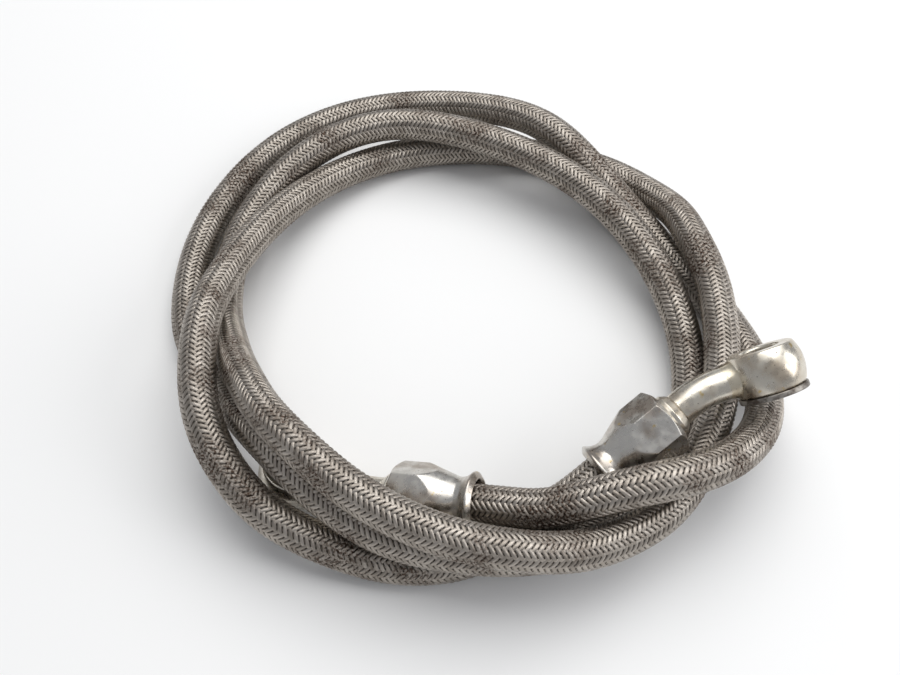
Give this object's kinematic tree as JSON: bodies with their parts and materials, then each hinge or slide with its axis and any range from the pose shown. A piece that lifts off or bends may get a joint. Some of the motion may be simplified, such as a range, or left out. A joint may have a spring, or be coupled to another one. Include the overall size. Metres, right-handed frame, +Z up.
{
  "type": "braided supply hose with banjo ends",
  "caption": "Coiled stainless-braided PTFE-type fluid hose with reusable hex socket nuts and bent banjo ends.",
  "frame": {"origin": "centre of the whole coil's bounding box, on the surface that it lies on", "axes": "+Z up, square to the surface that the coil lies on; +X to the right with end A's eye on the right; +Y away from the side where end B's nut lies"},
  "size_m": [0.189, 0.1919, 0.0449],
  "materials": {
    "braid": "satin",
    "liner": "matte",
    "nut": "satin",
    "tail": "satin",
    "olive": "satin",
    "braze": "satin",
    "washer": "satin"
  },
  "bodies": {
    "hose": {"wire_braid": "braid", "hose_liner": "liner", "olive_a": "olive", "olive_b": "olive"},
    "nut_a": {"socket_nut_a": "nut"},
    "banjo_a": {"hose_nipple_a": "tail", "neck_tube_a": "tail", "braze_ring_a": "braze", "banjo_eye_a": "tail", "crush_washer_a": "washer"},
    "nut_b": {"socket_nut_b": "nut"},
    "banjo_b": {"hose_nipple_b": "tail", "neck_tube_b": "tail", "braze_ring_b": "braze", "banjo_eye_b": "tail"}
  },
  "joints": [
    {"name": "nut_a_unscrew", "type": "hinge", "parent": "hose", "child": "nut_a", "pos_m": [0.0366, -0.0654, 0.0176], "axis": [-0.7714, -0.5203, -0.3665], "range_deg": [0, 1080]},
    {"name": "banjo_a_withdraw", "type": "slide", "parent": "hose", "child": "banjo_a", "axis": [0.7714, 0.5203, 0.3665], "range_m": [0, 0.003]},
    {"name": "nut_b_unscrew", "type": "hinge", "parent": "hose", "child": "nut_b", "pos_m": [0.0035, -0.0735, 0.0164], "axis": [0.9412, -0.2173, 0.2588], "range_deg": [0, 1080]},
    {"name": "banjo_b_withdraw", "type": "slide", "parent": "hose", "child": "banjo_b", "axis": [-0.9412, 0.2173, -0.2588], "range_m": [0, 0.003]}
  ],
  "couplings": [
    {"joint": "banjo_a_withdraw", "follows": "nut_a_unscrew", "m_per_rad": 0.000159},
    {"joint": "banjo_b_withdraw", "follows": "nut_b_unscrew", "m_per_rad": 0.000159}
  ]
}
